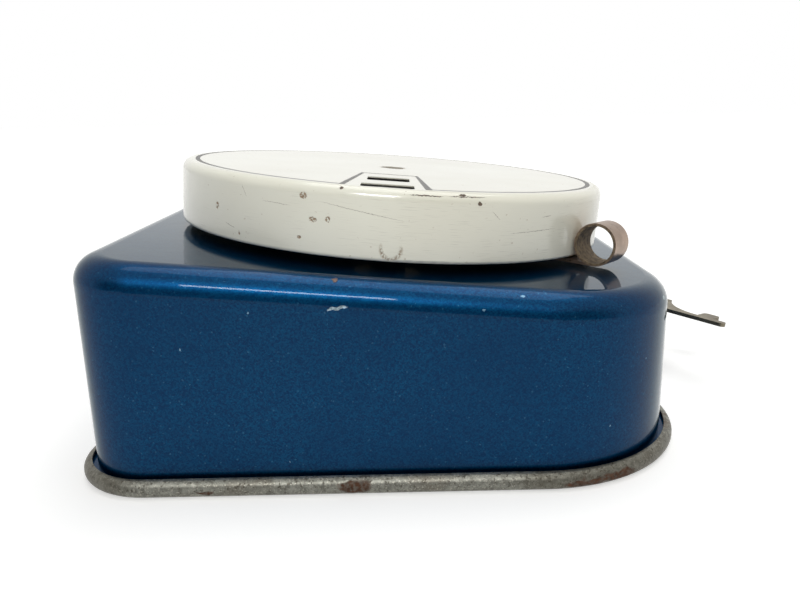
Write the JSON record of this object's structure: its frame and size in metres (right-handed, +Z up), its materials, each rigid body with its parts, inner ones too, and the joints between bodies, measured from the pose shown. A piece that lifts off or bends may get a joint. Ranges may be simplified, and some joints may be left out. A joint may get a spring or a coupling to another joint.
{
  "type": "kitchen timer",
  "caption": "Wedge-shaped clockwork kitchen timer with a lacquered steel case, a round dial cap with number windows, a setting arm with a finger loop and a stop lever.",
  "frame": {"origin": "on the table, under the dial axis where it crosses the top face", "axes": "+X from the thick to the thin end, +Y across the case away from the windows, +Z up"},
  "size_m": [0.1244, 0.108, 0.0508],
  "materials": {
    "blue_lacquer": "gloss metallic lacquer",
    "bare_steel": "dull, slightly rusted",
    "white_enamel": "gloss enamel",
    "tarnished_steel": "tarnished",
    "dark_steel": "blackened",
    "plate_steel": "zinc plated",
    "brass": "stamped",
    "spring_steel": "blued",
    "number_white": "satin paint",
    "gong_steel": "nickel plated"
  },
  "bodies": {
    "housing": {"case": "blue_lacquer", "base_plate": "bare_steel", "dial_cap": "white_enamel", "cap_screw": "dark_steel", "centre_stud": "plate_steel", "stop_pins": "plate_steel", "top_plate": "plate_steel", "bottom_plate": "plate_steel", "pillars": "plate_steel", "pillar_nuts": "plate_steel", "mount_posts": "plate_steel", "mount_nuts": "plate_steel", "mainspring": "spring_steel", "spring_post": "plate_steel", "gong": "gong_steel", "gong_post": "plate_steel", "gong_nut": "plate_steel", "lever_pin": "plate_steel"},
    "setting": {"setting_arm": "tarnished_steel", "main_arbor": "plate_steel", "number_dial": "number_white", "dial_bush": "brass", "arm_flange": "plate_steel", "arm_rivets": "plate_steel", "ratchet_wheel": "plate_steel", "strike_cam": "plate_steel"},
    "great": {"great_wheel": "brass", "click": "plate_steel", "click_pin": "plate_steel", "click_spring": "spring_steel"},
    "second": {"second_wheel": "brass", "second_arbor": "plate_steel"},
    "escape": {"escape_wheel": "brass", "escape_arbor": "plate_steel"},
    "balance_body": {"verge": "plate_steel", "balance": "brass"},
    "hammer": {"hammer_arm": "plate_steel", "hammer_arbor": "plate_steel", "hammer_tail": "plate_steel", "hammer_head": "brass"},
    "lever": {"stop_lever": "tarnished_steel"}
  },
  "joints": [
    {"name": "setting_turn", "type": "hinge", "parent": "housing", "child": "setting", "pos_m": [-0.00091, 0, 0.02394], "axis": [-0.0906, 0, -0.9959], "range_deg": [0, 300], "deforming": ["mainspring"]},
    {"name": "great_turn", "type": "hinge", "parent": "housing", "child": "great", "pos_m": [-0.00091, 0, 0.02394], "axis": [-0.0906, 0, -0.9959], "range_deg": [0, 300]},
    {"name": "second_turn", "type": "hinge", "parent": "housing", "child": "second", "pos_m": [0.01217, 0.02273, 0.02275], "axis": [-0.0906, 0, -0.9959], "range_deg": [-1800, 0]},
    {"name": "escape_turn", "type": "hinge", "parent": "housing", "child": "escape", "pos_m": [-0.004, 0.02708, 0.02422], "axis": [-0.0906, 0, -0.9959], "range_deg": [0, 10800]},
    {"name": "balance_swing", "type": "hinge", "parent": "housing", "child": "balance_body", "pos_m": [-0.01537, 0.02507, 0.02526], "axis": [0.0906, 0, 0.9959], "range_deg": [-4, 4]},
    {"name": "hammer_swing", "type": "hinge", "parent": "housing", "child": "hammer", "pos_m": [0.00711, -0.02996, 0.02321], "axis": [0.0906, 0, 0.9959], "range_deg": [-6, 2.5]},
    {"name": "lever_swing", "type": "hinge", "parent": "housing", "child": "lever", "pos_m": [0.04391, 0.0289, 0.01986], "axis": [0.0906, 0, 0.9959], "range_deg": [0, 16]}
  ],
  "couplings": [
    {"joint": "great_turn", "follows": "setting_turn", "ratio": 1},
    {"joint": "second_turn", "follows": "setting_turn", "ratio": -6},
    {"joint": "escape_turn", "follows": "setting_turn", "ratio": 36}
  ]
}
